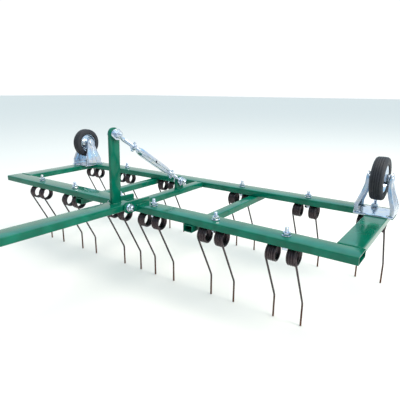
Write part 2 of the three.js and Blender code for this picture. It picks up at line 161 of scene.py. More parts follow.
def noise(tree: bpy.types.NodeTree, where: Any, size_mm: float, detail: float = 3.0,
          rough: float = 0.55) -> Any:
    """A noise whose blotches are about a given size across.

    Args:
        tree: the material's node tree.
        where: the coordinates, in metres.
        size_mm: the width of a blotch.
        detail: octaves.
        rough: how strong the finer octaves are.

    Returns:
        The factor socket.
    """
    inputs = {"Vector": where, "Scale": 1000 / size_mm, "Detail": detail, "Roughness": rough}
    return add_node(tree, "ShaderNodeTexNoise", inputs).outputs["Fac"]


def ramp(tree: bpy.types.NodeTree, factor: Any, stops: Sequence[tuple[float, Any]]) -> Any:
    """A colour ramp.

    Args:
        tree: the material's node tree.
        factor: the socket that drives it.
        stops: positions, each with an sRGB hex colour or a grey level.

    Returns:
        The colour socket.
    """
    node = add_node(tree, "ShaderNodeValToRGB", {"Fac": factor})
    elements = node.color_ramp.elements
    while len(elements) < len(stops):
        elements.new(0.5)
    for element, (place, colour) in zip(elements, stops):
        element.position = place
        element.color = linear(colour) if isinstance(colour, str) else (colour, colour, colour, 1.0)
    return node.outputs["Color"]


def grain(tree: bpy.types.NodeTree, shader: Any, heights: Any, depth_mm: float, strength: float) -> None:
    """Gives the shader a bump of a real depth.

    Args:
        tree: the material's node tree.
        shader: what the bump goes on.
        heights: the socket that drives it.
        depth_mm: how deep it is.
        strength: how much of it shows, from 0 to 1.
    """
    inputs = {"Height": heights, "Distance": depth_mm * MM, "Strength": strength}
    bump = add_node(tree, "ShaderNodeBump", inputs)
    tree.links.new(bump.outputs["Normal"], shader.inputs["Normal"])


@dataclass(frozen=True)
class GreenEnamel(Finish):
    """Sprayed and baked alkyd enamel on mild steel tube: a deep, even green under a glossy skin with
    a soft orange peel, a little paler where it went on thin, and dull where hands and dust touched it."""

    peel_mm: float = 3.0
    patch_mm: float = 46.0

    def shade(self, tree: bpy.types.NodeTree, where: Any, shader: Any) -> None:
        """Patchy green, orange peel and dusty gloss."""
        patches = noise(tree, where, self.patch_mm, 4.0)
        colour = ramp(tree, patches, [(0.3, "#005843"), (0.52, "#00634D"), (0.72, "#006E57")])
        tree.links.new(colour, shader.inputs["Base Color"])
        dust = ramp(tree, noise(tree, where, 9.0, 5.0, 0.65), [(0.35, 0.14), (0.62, 0.2), (0.8, 0.32)])
        tree.links.new(dust, shader.inputs["Roughness"])
        shader.inputs["Coat Weight"].default_value = 0.25
        shader.inputs["Coat Roughness"].default_value = 0.05
        shader.inputs["Specular IOR Level"].default_value = 0.12
        grain(tree, shader, noise(tree, where, self.peel_mm, 2.0), 0.04, 0.25)


@dataclass(frozen=True)
class SpringWire(Finish):
    """Oil-tempered spring wire: a blue-black scale that turns brown with a thin film of rust, and is
    scuffed to orange rust at the tips that comb the ground."""

    tip_top_m: float = 0.075

    def shade(self, tree: bpy.types.NodeTree, where: Any, shader: Any) -> None:
        """Dark scale, rust freckles and rusty tips."""
        scale_stops = [(0.3, "#2A2427"), (0.55, "#453B3E"), (0.75, "#5E5153")]
        scale = ramp(tree, noise(tree, where, 7.0, 5.0, 0.7), scale_stops)
        height = add_node(tree, "ShaderNodeSeparateXYZ", {"Vector": where}).outputs["Z"]
        nearness = add_node(
            tree, "ShaderNodeMapRange",
            {"Value": height, "From Min": self.tip_top_m, "From Max": 0.005, "To Min": 0.0, "To Max": 1.1},
        ).outputs["Result"]
        freckle = noise(tree, where, 5.0, 6.0, 0.75)
        amount = add_node(tree, "ShaderNodeMath", {0: nearness, 1: freckle}, operation="MULTIPLY_ADD")
        amount.inputs[2].default_value = -0.02
        spots = add_node(tree, "ShaderNodeMapRange", {"Value": freckle, "From Min": 0.62, "From Max": 0.74})
        total = add_node(
            tree, "ShaderNodeMath", {0: amount.outputs[0], 1: spots.outputs["Result"]}, operation="ADD",
        )
        total.use_clamp = True
        rust_stops = [(0.3, "#5A3420"), (0.6, "#8A5632"), (0.8, "#B07A4C")]
        rust = ramp(tree, noise(tree, where, 3.0, 4.0), rust_stops)
        mix = add_node(tree, "ShaderNodeMixRGB", {"Fac": total.outputs[0], "Color1": scale, "Color2": rust})
        tree.links.new(mix.outputs["Color"], shader.inputs["Base Color"])
        rough = ramp(tree, total.outputs[0], [(0.0, 0.3), (1.0, 0.85)])
        tree.links.new(rough, shader.inputs["Roughness"])
        grain(tree, shader, freckle, 0.15, 0.3)


@dataclass(frozen=True)
class ZincPlate(Finish):
    """Bright zinc electroplate, clear-passivated: silvery steel with a cold blue tint, faint yellow
    clouds from the passivation and a satin that varies over each piece."""

    cloud_mm: float = 14.0

    def shade(self, tree: bpy.types.NodeTree, where: Any, shader: Any) -> None:
        """Clouded silver with a varied satin."""
        clouds = noise(tree, where, self.cloud_mm, 3.0)
        colour = ramp(tree, clouds, [(0.25, "#A9B8CE"), (0.5, "#C4CFDD"), (0.78, "#D6D6CE")])
        tree.links.new(colour, shader.inputs["Base Color"])
        rough = ramp(tree, noise(tree, where, 6.0, 5.0, 0.7), [(0.3, 0.14), (0.6, 0.2), (0.8, 0.3)])
        tree.links.new(rough, shader.inputs["Roughness"])
        grain(tree, shader, noise(tree, where, 1.4, 3.0), 0.01, 0.3)


@dataclass(frozen=True)
class WheelRubber(Finish):
    """Moulded solid rubber tyre: a blue-grey black with a matt skin, greyer where it has picked up
    dust, with a fine mould grain."""

    def shade(self, tree: bpy.types.NodeTree, where: Any, shader: Any) -> None:
        """Dusty matt black."""
        dust = noise(tree, where, 12.0, 5.0, 0.7)
        colour = ramp(tree, dust, [(0.3, "#17181E"), (0.6, "#24262E"), (0.85, "#44464F")])
        tree.links.new(colour, shader.inputs["Base Color"])
        tree.links.new(ramp(tree, dust, [(0.3, 0.5), (0.8, 0.72)]), shader.inputs["Roughness"])
        grain(tree, shader, noise(tree, where, 1.2, 3.0), 0.08, 0.5)


ENAMEL = GreenEnamel("green_enamel", Slot.GREEN)
SPRING = SpringWire("oil_tempered_spring_wire", Slot.SPRING, 0.75)
ZINC = ZincPlate("bright_zinc_plate", Slot.ZINC, 1.0)
RUBBER = WheelRubber("moulded_rubber", Slot.RUBBER)


# ------------------------------------------------------------------ shaping


def merged(pieces: Iterable[bmesh.types.BMesh]) -> bmesh.types.BMesh:
    """Puts several meshes into one and frees them.

    Args:
        pieces: the meshes.

    Returns:
        One mesh that holds them all.
    """
    whole = bmesh.new()
    for piece in pieces:
        carrier = bpy.data.meshes.new("carrier")
        piece.to_mesh(carrier)
        piece.free()
        whole.from_mesh(carrier)
        bpy.data.meshes.remove(carrier)
    return whole


def moved(piece: bmesh.types.BMesh, *steps: Matrix) -> bmesh.types.BMesh:
    """Applies steps to a mesh, the first one first.

    Args:
        piece: the mesh.
        steps: the moves and turns.

    Returns:
        The same mesh.
    """
    for step in steps:
        piece.transform(step)
    return piece


def shift(x: float = 0.0, y: float = 0.0, z: float = 0.0) -> Matrix:
    """A move."""
    return Matrix.Translation((x, y, z))


def turn(axis: str, degrees: float) -> Matrix:
    """A turn about an axis."""
    return Matrix.Rotation(math.radians(degrees), 4, axis)


# Takes a piece that was made along Z so that it lies along X or Y.
ALONG = {"X": turn("Y", 90), "Y": turn("X", -90), "Z": Matrix.Identity(4)}
# Takes an outline that was drawn in X and Y into the Y and Z plane.
UPRIGHT = Matrix(((0, 0, 1, 0), (1, 0, 0, 0), (0, 1, 0, 0), (0, 0, 0, 1)))


def ease_edges(piece: bmesh.types.BMesh, amount: float, segments: int = 2,
               least: float = 50.0) -> bmesh.types.BMesh:
    """Rounds every edge that is sharper than an angle.

    Args:
        piece: the mesh.
        amount: how far the rounding reaches, in mm.
        segments: its steps.
        least: the angle in degrees.

    Returns:
        The same mesh.
    """
    limit = math.radians(least)
    sharp = [e for e in piece.edges if len(e.link_faces) == 2 and e.calc_face_angle() > limit]
    bmesh.ops.bevel(
        piece, geom=sharp, offset=amount, affect="EDGES", segments=segments, profile=0.5,
        material=-1, clamp_overlap=True,
    )
    return piece


def turned(profile: Sequence[Flat], segments: int = 32, axis: str = "Z") -> bmesh.types.BMesh:
    """A shape turned on a lathe.

    Args:
        profile: radius and place along the axis, in mm, from end to end. It closes on itself
            unless both ends are on the axis.
        segments: steps round the circle.
        axis: the axis it ends up on.

    Returns:
        The mesh.
    """
    piece = bmesh.new()
    verts = [piece.verts.new((r, 0, h)) for r, h in profile]
    edges = [piece.edges.new(pair) for pair in zip(verts, verts[1:])]
    if profile[0][0] > 0.001:
        edges.append(piece.edges.new((verts[-1], verts[0])))
    bmesh.ops.spin(
        piece, geom=verts + edges, cent=(0, 0, 0), axis=(0, 0, 1), angle=2 * math.pi,
        steps=segments, use_merge=True,
    )
    bmesh.ops.remove_doubles(piece, verts=piece.verts, dist=0.001)
    bmesh.ops.recalc_face_normals(piece, faces=piece.faces)
    return moved(piece, ALONG[axis])


def ring(inner: float, outer: float, low: float, high: float, ease: float = 0.4, axis: str = "Z",
         segments: int = 32) -> bmesh.types.BMesh:
    """A washer, eye or collar with eased edges.

    Args:
        inner: the hole's radius.
        outer: the outer radius.
        low: where it starts on the axis.
        high: where it ends.
        ease: how far the edges are eased.
        axis: X, Y or Z.
        segments: steps round the circle.

    Returns:
        The mesh.
    """
    profile = [
        (inner, low + ease), (inner + ease, low), (outer - ease, low), (outer, low + ease),
        (outer, high - ease), (outer - ease, high), (inner + ease, high), (inner, high - ease),
    ]
    return turned(profile, segments, axis)


def bar(radius: float, low: float, high: float, ease: float = 0.6, axis: str = "Z") -> bmesh.types.BMesh:
    """A round bar with eased ends.

    Args:
        radius: of the bar.
        low: where it starts on the axis.
        high: where it ends.
        ease: how far the ends are eased.
        axis: X, Y or Z.

    Returns:
        The mesh.
    """
    profile = [
        (0, low), (radius - ease, low), (radius, low + ease),
        (radius, high - ease), (radius - ease, high), (0, high),
    ]
    return turned(profile, 24, axis)


def thread(radius: float, low: float, high: float, pitch: float = 1.75, axis: str = "Z") -> bmesh.types.BMesh:
    """A threaded stretch, drawn as close rings because a real helix looks the same at this size.

    Args:
        radius: over the crests.
        low: where it starts on the axis.
        high: where it ends.
        pitch: the rings' spacing, near enough.
        axis: X, Y or Z.

    Returns:
        The mesh.
    """
    depth = 0.6 * pitch
    count = max(2, int((high - low) / pitch))
    step = (high - low) / count
    profile: list[Flat] = [(0, low), (radius - depth, low)]
    for i in range(count):
        profile += [(radius, low + (i + 0.5) * step), (radius - depth, low + (i + 1) * step)]
    profile.append((0, high))
    return turned(profile, 16, axis)


def hexagon(flats: float, low: float, high: float, axis: str = "Z", twist: float = 0.0) -> bmesh.types.BMesh:
    """A hexagon head or nut, with its corners turned off.

    Args:
        flats: across the flats.
        low: where it starts on the axis.
        high: where it ends.
        axis: X, Y or Z.
        twist: its turn about the axis, in degrees.

    Returns:
        The mesh.
    """
    corner = flats / math.sqrt(3)
    piece = bmesh.new()
    bmesh.ops.create_cone(
        piece, cap_ends=True, segments=6, radius1=corner, radius2=corner, depth=high - low,
        matrix=shift(z=(low + high) / 2) @ turn("Z", twist),
    )
    bmesh.ops.bevel(
        piece, geom=[e for e in piece.edges if abs(e.verts[0].co.z - e.verts[1].co.z) < 0.01],
        offset=0.9, affect="EDGES", segments=2, profile=0.5, material=-1,
    )
    return moved(piece, ALONG[axis])


def rounded_face(piece: bmesh.types.BMesh, corners: Sequence[Corner], segments: int) -> Any:
    """One flat face in X and Y with its own radius at each corner.

    Args:
        piece: the mesh it goes into.
        corners: x, y and radius of each corner, in order round the outline.
        segments: steps round each corner.

    Returns:
        The face.
    """
    verts = [piece.verts.new((x, y, 0)) for x, y, _ in corners]
    piece.faces.new(verts)
    for vert, (_, _, radius) in zip(verts, corners):
        if radius > 0:
            bmesh.ops.bevel(
                piece, geom=[vert], offset=radius, affect="VERTICES", segments=segments, profile=0.5,
                material=-1,
            )
    return max(piece.faces, key=lambda f: f.calc_area())


def plate(corners: Sequence[Corner], thickness: float, ease: float, segments: int = 10) -> bmesh.types.BMesh:
    """A flat plate about z = 0 with rounded corners and eased edges.

    Args:
        corners: x, y and radius of each corner, in order round the outline.
        thickness: of the plate.
        ease: how far the edges are eased.
        segments: steps round each corner.

    Returns:
        The mesh.
    """
    piece = bmesh.new()
    face = rounded_face(piece, corners, segments)
    grown = bmesh.ops.extrude_face_region(piece, geom=[face])["geom"]
    top = [g for g in grown if isinstance(g, bmesh.types.BMVert)]
    bmesh.ops.translate(piece, verts=top, vec=(0, 0, thickness))
    bmesh.ops.translate(piece, verts=piece.verts, vec=(0, 0, -thickness / 2))
    bmesh.ops.recalc_face_normals(piece, faces=piece.faces)
    return ease_edges(piece, ease)


def box_tube(length: float, width: float, height: float, wall: float, corner: float) -> bmesh.types.BMesh:
    """A length of rectangular hollow section along Y, about its middle, with open ends.

    Args:
        length: of the piece.
        width: outside, in X.
        height: outside, in Z.
        wall: the wall's thickness.
        corner: the outer corners' radius.

    Returns:
        The mesh.
    """
    piece = bmesh.new()
    for inset in (0.0, wall):
        w, h, r = width / 2 - inset, height / 2 - inset, max(corner - inset, 0.5)
        face = rounded_face(piece, [(-w, -h, r), (w, -h, r), (w, h, r), (-w, h, r)], 5)
        bmesh.ops.delete(piece, geom=[face], context="FACES_ONLY")
    bmesh.ops.bridge_loops(piece, edges=piece.edges[:])
    grown = bmesh.ops.extrude_face_region(piece, geom=piece.faces[:])["geom"]
    far = [g for g in grown if isinstance(g, bmesh.types.BMVert)]
    bmesh.ops.translate(piece, verts=far, vec=(0, 0, length))
    bmesh.ops.recalc_face_normals(piece, faces=piece.faces)
    return moved(piece, shift(z=-length / 2), turn("X", -90))


def swept(points: Sequence[Point], radius: float, smooth: bool = False, closed: bool = False,
          swell: Sequence[float] | None = None) -> bmesh.types.BMesh:
    """Round wire or bead along a path.

    Args:
        points: the path, in mm.
        radius: of the wire.
        smooth: whether the path curves through the points.
        closed: whether it joins up.
        swell: a factor on the radius at each point.

    Returns:
        The mesh.
    """
    curve = bpy.data.curves.new("path", "CURVE")
    curve.dimensions = "3D"
    curve.bevel_depth = radius
    curve.bevel_resolution = 2
    curve.use_fill_caps = not closed
    if smooth:
        spline = curve.splines.new("BEZIER")
        spline.bezier_points.add(len(points) - 1)
        for knot, place in zip(spline.bezier_points, points):
            knot.co = place
            knot.handle_left_type = knot.handle_right_type = "AUTO"
        spline.resolution_u = 6
    else:
        spline = curve.splines.new("POLY")
        spline.points.add(len(points) - 1)
        for i, (knot, place) in enumerate(zip(spline.points, points)):
            knot.co = (*place, 1)
            knot.radius = swell[i] if swell else 1.0
    spline.use_cyclic_u = closed
    holder = bpy.data.objects.new("path", curve)
    bpy.context.scene.collection.objects.link(holder)
    bpy.context.view_layer.update()
    mesh = bpy.data.meshes.new_from_object(holder.evaluated_get(bpy.context.evaluated_depsgraph_get()))
    piece = bmesh.new()
    piece.from_mesh(mesh)
    bpy.data.objects.remove(holder)
    bpy.data.curves.remove(curve)
    bpy.data.meshes.remove(mesh)
    bmesh.ops.remove_doubles(piece, verts=piece.verts, dist=0.0005)
    bmesh.ops.recalc_face_normals(piece, faces=piece.faces)
    return piece


def weld(start: Point, end: Point, radius: float = 2.4) -> bmesh.types.BMesh:
    """A rippled weld bead along a straight seam.

    Args:
        start: one end of the seam.
        end: the other end.
        radius: of the bead.

    Returns:
        The mesh.
    """
    a, b = Vector(start), Vector(end)
    count = max(4, int((b - a).length / 1.7))
    wobble = [0.82 + 0.2 * (i % 2) + 0.1 * math.sin(i * 1.9) for i in range(count + 1)]
    wobble[0] = wobble[-1] = 0.45
    path = [tuple(a.lerp(b, i / count) + Vector((0, 0, 0.25 * math.sin(i * 2.3)))) for i in range(count + 1)]
    return swept(path, radius, swell=wobble)


def carve(piece: bmesh.types.BMesh, cutter: bmesh.types.BMesh) -> bmesh.types.BMesh:
    """Cuts one mesh out of another.

    Args:
        piece: what is cut.
        cutter: what is taken away.

    Returns:
        The cut mesh.
    """
    made = []
    for shape in (piece, cutter):
        mesh = bpy.data.meshes.new("blank")
        shape.to_mesh(mesh)
        shape.free()
        holder = bpy.data.objects.new("blank", mesh)
        bpy.context.scene.collection.objects.link(holder)
        made.append(holder)
    work, tool = made
    cut = work.modifiers.new("cut", "BOOLEAN")
    cut.operation = "DIFFERENCE"
    cut.solver = "EXACT"
    cut.object = tool
    bpy.context.view_layer.update()
    mesh = bpy.data.meshes.new_from_object(work.evaluated_get(bpy.context.evaluated_depsgraph_get()))
    result = bmesh.new()
    result.from_mesh(mesh)
    for holder in made:
        data = holder.data
        bpy.data.objects.remove(holder)
        bpy.data.meshes.remove(data)
    bpy.data.meshes.remove(mesh)
    return result


# ------------------------------------------------------------------ the three frames


@dataclass(frozen=True)
class Frames:
    """Where the machine, the drawbar and the turnbuckle stand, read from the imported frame.

    Attributes:
        machine: millimetres about the frame's middle, z = 0 on top of the rails, to metres.
        drawbar: the same about the drawbar's hinge, pitched.
        turnbuckle: the same about the lower eye, with +Y towards the mast.
        turnbuckle_length: from eye to eye, in mm.
    """

    machine: Matrix
    drawbar: Matrix
    turnbuckle: Matrix
    turnbuckle_length: float

    HINGE = (0.0, -249.0, 1.0)
    PITCH = 1.46
    MAST_BOLT = (0.0, -18.5, 212.0)
    LOWER_EYE = (10.0, 33.0, 26.0)

    @classmethod
    def from_cad(cls) -> Frames:
        """Reads the rails' boxes.

        Returns:
            The three frames.
        """
        front_low, front_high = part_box("front_rail")
        _, rear_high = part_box("rear_rail")
        middle = Vector((0.0, (front_low.y + rear_high.y) / 2, front_high.z))
        machine = Matrix.Translation(middle) @ Matrix.Scale(MM, 4)
        drawbar = machine @ shift(*cls.HINGE) @ turn("X", -cls.PITCH)
        top = machine.inverted() @ drawbar @ Vector(cls.MAST_BOLT)
        run = Vector((top.y - cls.LOWER_EYE[1], top.z - cls.LOWER_EYE[2]))
        turnbuckle = machine @ shift(*cls.LOWER_EYE) @ turn("X", math.degrees(math.atan2(run.y, run.x)))
        return cls(machine, drawbar, turnbuckle, run.length)


@dataclass
class Assembly:
    """A sub-assembly of pieces that ride on the frame's bodies."""

    frames: Frames

    def make(self) -> None:
        """Builds every piece; each sub-assembly has its own."""
        raise NotImplementedError

    def place(self, name: str, parts: Iterable[bmesh.types.BMesh], finish: Finish, body: str,
              replaces: Sequence[str] = (), into: Matrix | None = None) -> bpy.types.Object:
        """Turns shapes into one finished piece.

        Args:
            name: the piece's name.
            parts: its shapes, in mm, in a local frame.
            finish: its surface.
            body: the body that it rides on.
            replaces: the CAD nodes that it stands for.
            into: from the local frame to metres; the machine's own unless given.

        Returns:
            The object.
        """
        piece = merged(parts)
        piece.transform(into or self.frames.machine)
        for edge in piece.edges:
            edge.smooth = len(edge.link_faces) == 2 and edge.calc_face_angle() < SHARP_ANGLE
        for face in piece.faces:
            face.smooth = True
        mesh = bpy.data.meshes.new(name)
        piece.to_mesh(mesh)
        piece.free()
        mesh.materials.append(finish.material())
        made = bpy.data.objects.new(name, mesh)
        bpy.context.scene.collection.objects.link(made)
        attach(made, body)
        if replaces:
            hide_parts(*replaces)
        log.info("%s: %d faces, rides on %s", name, len(mesh.polygons), body)
        return made


@dataclass(frozen=True)
class Screw:
    """A metric hexagon screw with its nut and washers.

    Attributes:
        radius: of the shank.
        flats: across the hexagon.
        head: the head's height.
        nut: the nut's height.
        washer_radius: of both washers.
        washer: their thickness.
    """

    radius: float
    flats: float
    head: float
    nut: float
    washer_radius: float
    washer: float

    def stack(self, axis: str, low: float, high: float, tail: float = 5.0, head_washer: float | None = None,
              nut_washer: float | None = None, twist: float = 12.0) -> list[bmesh.types.BMesh]:
        """The whole screw, clamping what lies between two places on an axis.

        Args:
            axis: X, Y or Z.
            low: the face under the head.
            high: the face under the nut.
            tail: how far the shank passes the nut.
            head_washer: the washer's radius under the head, if not the usual one.
            nut_washer: the same under the nut.
            twist: how far the hexagons are turned, in degrees.

        Returns:
            Its shapes.
        """
        head = low - GAP - self.washer
        nut = high + GAP + self.washer
        end = nut + self.nut + tail
        return [
            bar(self.radius - 0.05, head - 1, nut + 1, axis=axis),
            thread(self.radius, nut, end - 0.8, axis=axis),
            bar(self.radius - 0.9, nut, end, 0.8, axis),
            hexagon(self.flats, head - self.head, head, axis, twist),
            bar(0.72 * self.flats / 2, head - self.head - 0.35, head, 0.4, axis),
            ring(self.radius, head_washer or self.washer_radius, head, low - GAP, 0.4, axis),
            ring(self.radius, nut_washer or self.washer_radius, high + GAP, nut, 0.4, axis),
            hexagon(self.flats, nut, nut + self.nut, axis, twist + 20),
        ]


M10 = Screw(5.0, 17.0, 6.4, 8.0, 11.0, 2.0)
M12 = Screw(6.0, 19.0, 7.5, 10.0, 12.0, 2.5)


# ------------------------------------------------------------------ the tube frame


@dataclass
class TubeFrame(Assembly):
    """Two long rails, two side rails, a centre rail and two cross-members, welded together."""

    length: float = 1350.0
    rail_y: float = 189.0
    inner: float = 318.0
    side_x: float = 640.0
    cross_x: float = 231.0
    flat_width: float = 60.0
    slim_width: float = 30.0
    height: float = 20.0
    wall: float = 2.0
    cross_length: float = 441.0
    cross_y: float = -1.5
    seam_y: float = 29.0

    def flat(self, length: float) -> bmesh.types.BMesh:
        """A length of the wide flat tube."""
        return box_tube(length, self.flat_width, self.height, self.wall, 3.0)

    def slim(self, length: float) -> bmesh.types.BMesh:
        """A length of the narrow tube."""
        return box_tube(length, self.slim_width, self.height, self.wall, 2.5)

    def make(self) -> None:
        """Cuts the tubes to length and runs the weld beads."""
        z = -self.height / 2
        for name, y in (("front_rail", -self.rail_y), ("rear_rail", self.rail_y)):
            rail = moved(self.flat(self.length), turn("Z", 90), shift(0, y, z))
            self.place(f"{name}_tube", [rail], ENAMEL, "frame", [name])
        between = self.inner - 2 * GAP
        for name, x in (("left_side_rail", -self.side_x), ("right_side_rail", self.side_x)):
            self.place(f"{name}_tube", [moved(self.flat(between), shift(x, 0, z))], ENAMEL, "frame", [name])
        centre = moved(self.slim(between), shift(0, 0, z))
        self.place("centre_rail_tube", [centre], ENAMEL, "frame", ["centre_rail"])
        for name, x in (("left_cross_member", -self.cross_x), ("right_cross_member", self.cross_x)):
            member = moved(self.slim(self.cross_length), shift(x, self.cross_y, -self.height - GAP + z))
            self.place(f"{name}_tube", [member], ENAMEL, "frame", [name])
        self.place("frame_weld_beads", self.beads(), ENAMEL, "frame")

    def beads(self) -> list[bmesh.types.BMesh]:
        """Beads along every seam of the frame.

        Returns:
            The beads.
        """
        half = self.inner / 2
        made = []
        for x, width in ((-self.side_x, 56.0), (self.side_x, 56.0), (0.0, 26.0)):
            for y in (-half, half):
                for z in (-0.4, 0.4 - self.height):
                    made.append(weld((x - width / 2, y, z), (x + width / 2, y, z), 2.2))
            for y in (-half, half):
                side = width / 2 + 2.2
                for edge in (-side, side):
                    made.append(weld((x + edge, y, -3), (x + edge, y, 3 - self.height), 1.9))
        under = -self.height - GAP
        reach = self.slim_width / 2 + 0.8
        for x in (-self.cross_x, self.cross_x):
            for rail in (-self.rail_y, self.rail_y):
                for inward in (1, -1):
                    y = rail - inward * self.seam_y
                    for side in (-reach, reach):
                        made.append(weld((x + side, y, under), (x + side, y + inward * 24, under), 2.0))
        return made


# ------------------------------------------------------------------ spring tines


@dataclass
class TineRows(Assembly):
    """Two rows of double-coil spring tines and the screws that clamp them under the rails."""

    front_x: tuple[float, ...] = (-483.0, -289.0, -62.0, 80.0, 300.0, 501.0)
    rear_x: tuple[float, ...] = (-618.0, -415.0, -169.0, 169.0, 415.0, 618.0)
    rail_y: float = 189.0
    wire: float = 2.7
    coil_radius: float = 21.0
    coil_y: float = -7.6
    coil_z: float = -44.05
    coil_start: float = 15.1
    pitch: float = 5.42
    turns: float = 4 + 117 / 360
    bend: Flat = (43.0, -188.0)
    bend_radius: float = 24.0
    tip: float = -252.0
    loop_radius: float = 8.35
    loop_z: float = -23.1

    def half_path(self) -> list[Point]:
        """The wire from the middle of its loop round the +X coil and down to the tip.

        Returns:
            The path about the screw, in mm.
        """
        path: list[Point] = []
        for i in range(7):
            angle = math.pi / 2 * (1 - i / 6)
            path.append((self.loop_radius * math.cos(angle), self.loop_radius * math.sin(angle), self.loop_z))
        for i in range(1, 6):
            t = i / 6
            ease = t * t * (3 - 2 * t)
            x = self.loop_radius + (self.coil_start - self.loop_radius) * ease
            path.append((x, self.coil_y * t, self.loop_z))
        steps = int(self.turns * 22)
        for i in range(steps + 1):
            angle = 2 * math.pi * self.turns * i / steps
            path.append((
                self.coil_start + self.pitch * self.turns * i / steps,
                self.coil_y - self.coil_radius * math.sin(angle),
                self.coil_z + self.coil_radius * math.cos(angle),
            ))
        x, y0, z0 = path[-1]
        by, bz = self.bend
        slope = math.atan2(by - y0, z0 - bz)
        reach = self.bend_radius * math.tan(slope / 2)
        centre_y = by - self.bend_radius
        for i in range(7):
            angle = slope * (1 - i / 6)
            path.append((
                x, centre_y + self.bend_radius * math.cos(angle),
                bz - reach + self.bend_radius * math.sin(angle),
            ))
        path.append((x, by, self.tip))
        return path

    def tine(self) -> bmesh.types.BMesh:
        """One double-coil tine of a single wire.

        Returns:
            The tine about its screw.
        """
        half = self.half_path()
        other = [(-x, y, z) for x, y, z in reversed(half[1:])]
        return swept(other + half, self.wire)

    def make(self) -> None:
        """Places every tine and its screw."""
        under = -20.0 - GAP - 5.5
        last = len(self.rear_x) - 1
        for row, places, y in (("front", self.front_x, -self.rail_y), ("rear", self.rear_x, self.rail_y)):
            for i, x in enumerate(places):
                at = shift(x, y, 0)
                node = f"tine_{row}_{i + 1}"
                self.place(f"{node}_wire", [moved(self.tine(), at)], SPRING, "frame", [node])
                top = GAP + 3.0 if row == "rear" and i in (0, last) else 0.0
                stack = M10.stack("Z", under, top, 12.0, head_washer=10.0, twist=17.0 * i + 5)
                node = f"tine_bolt_{row}_{i + 1}"
                self.place(f"{node}_steel", [moved(s, at) for s in stack], ZINC, "frame", [node])


# ------------------------------------------------------------------ castors


